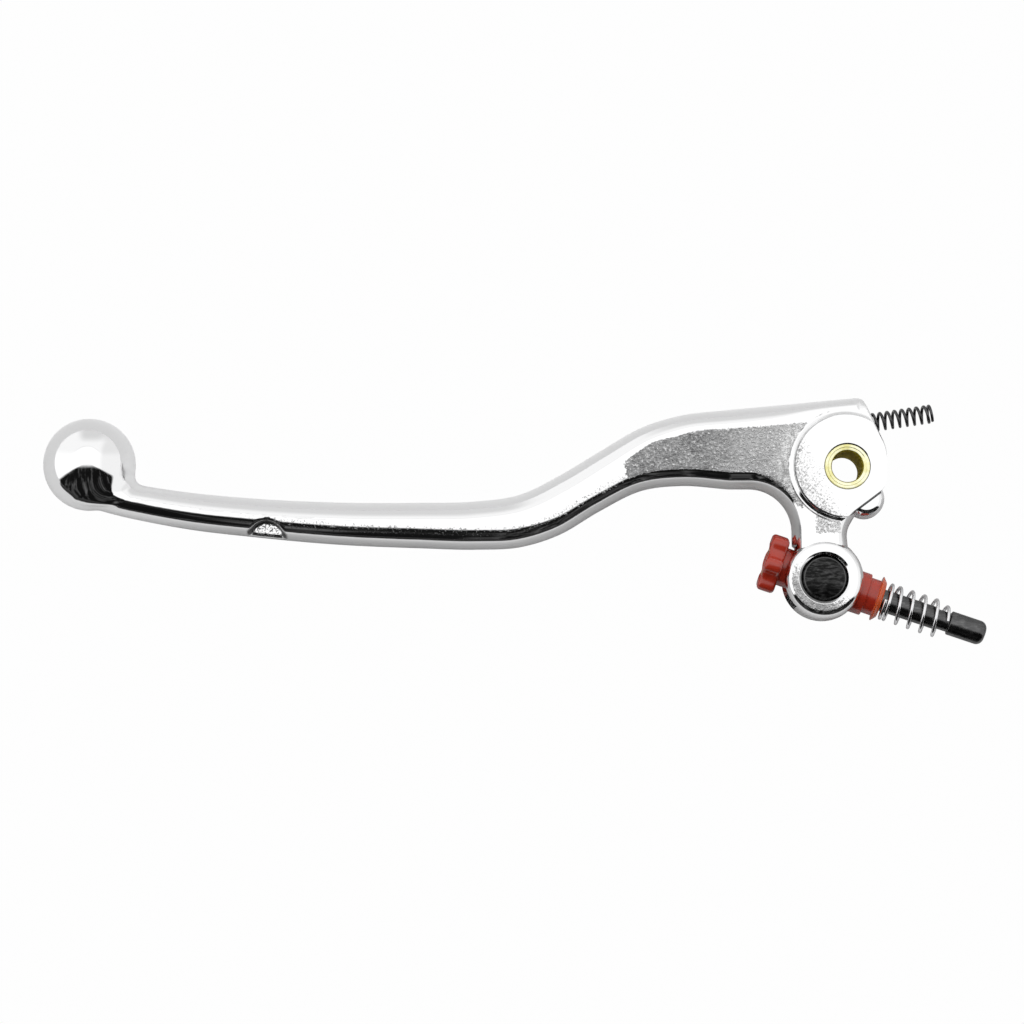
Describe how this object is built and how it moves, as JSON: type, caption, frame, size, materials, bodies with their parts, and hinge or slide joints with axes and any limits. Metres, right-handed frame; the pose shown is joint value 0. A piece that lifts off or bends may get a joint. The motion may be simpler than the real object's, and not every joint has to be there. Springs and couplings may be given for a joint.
{
  "type": "motorcycle clutch lever",
  "caption": "Polished forged clutch lever with a ball end, brass pivot bush, swivel barrel, push rod with star adjuster knob, and coil springs.",
  "frame": {"origin": "on the pivot axis, at half the lever's height", "axes": "+Z along the pivot axis, +X from the ball end towards the push rod's nose, +Y towards the finger side of the blade"},
  "size_m": [0.1942, 0.0509, 0.019],
  "materials": {
    "polished_aluminium": "mirror-polished forging with unpolished grainy web faces",
    "brass": "machined",
    "black_steel": "black oxide, slightly scratched",
    "red_plastic": "moulded, satin",
    "bright_spring": "bright drawn wire",
    "dark_spring": "dark drawn wire"
  },
  "bodies": {
    "lever_body": {"lever": "polished_aluminium", "pivot_bush": "brass"},
    "barrel_body": {"swivel_barrel": "black_steel", "guide_collar": "red_plastic"},
    "knob_body": {"adjuster_knob": "red_plastic", "knob_insert": "brass"},
    "rod_body": {"push_rod": "black_steel", "push_rod_spring": "bright_spring"},
    "return_spring_body": {"return_spring": "dark_spring"}
  },
  "joints": [
    {"name": "barrel_swivel", "type": "hinge", "parent": "lever_body", "child": "barrel_body", "pos_m": [-0.00475, -0.02285, 0], "axis": [0, 0, 1], "range_deg": [0, 28]},
    {"name": "knob_turn", "type": "hinge", "parent": "barrel_body", "child": "knob_body", "pos_m": [-0.00475, -0.02285, 0], "axis": [0.9472, -0.3206, 0], "range_deg": [-722, 722]},
    {"name": "rod_advance", "type": "slide", "parent": "barrel_body", "child": "rod_body", "axis": [0.9472, -0.3206, 0], "range_m": [-0.0016, 0.0016], "deforming": ["push_rod_spring"]},
    {"name": "return_spring_press", "type": "slide", "parent": "lever_body", "child": "return_spring_body", "axis": [0.989, 0.1478, 0], "range_m": [-0.006, 0], "stiffness_N_per_m": 2600, "deforming": ["return_spring"]}
  ],
  "couplings": [
    {"joint": "knob_turn", "follows": "rod_advance", "rad_per_m": -7854}
  ]
}
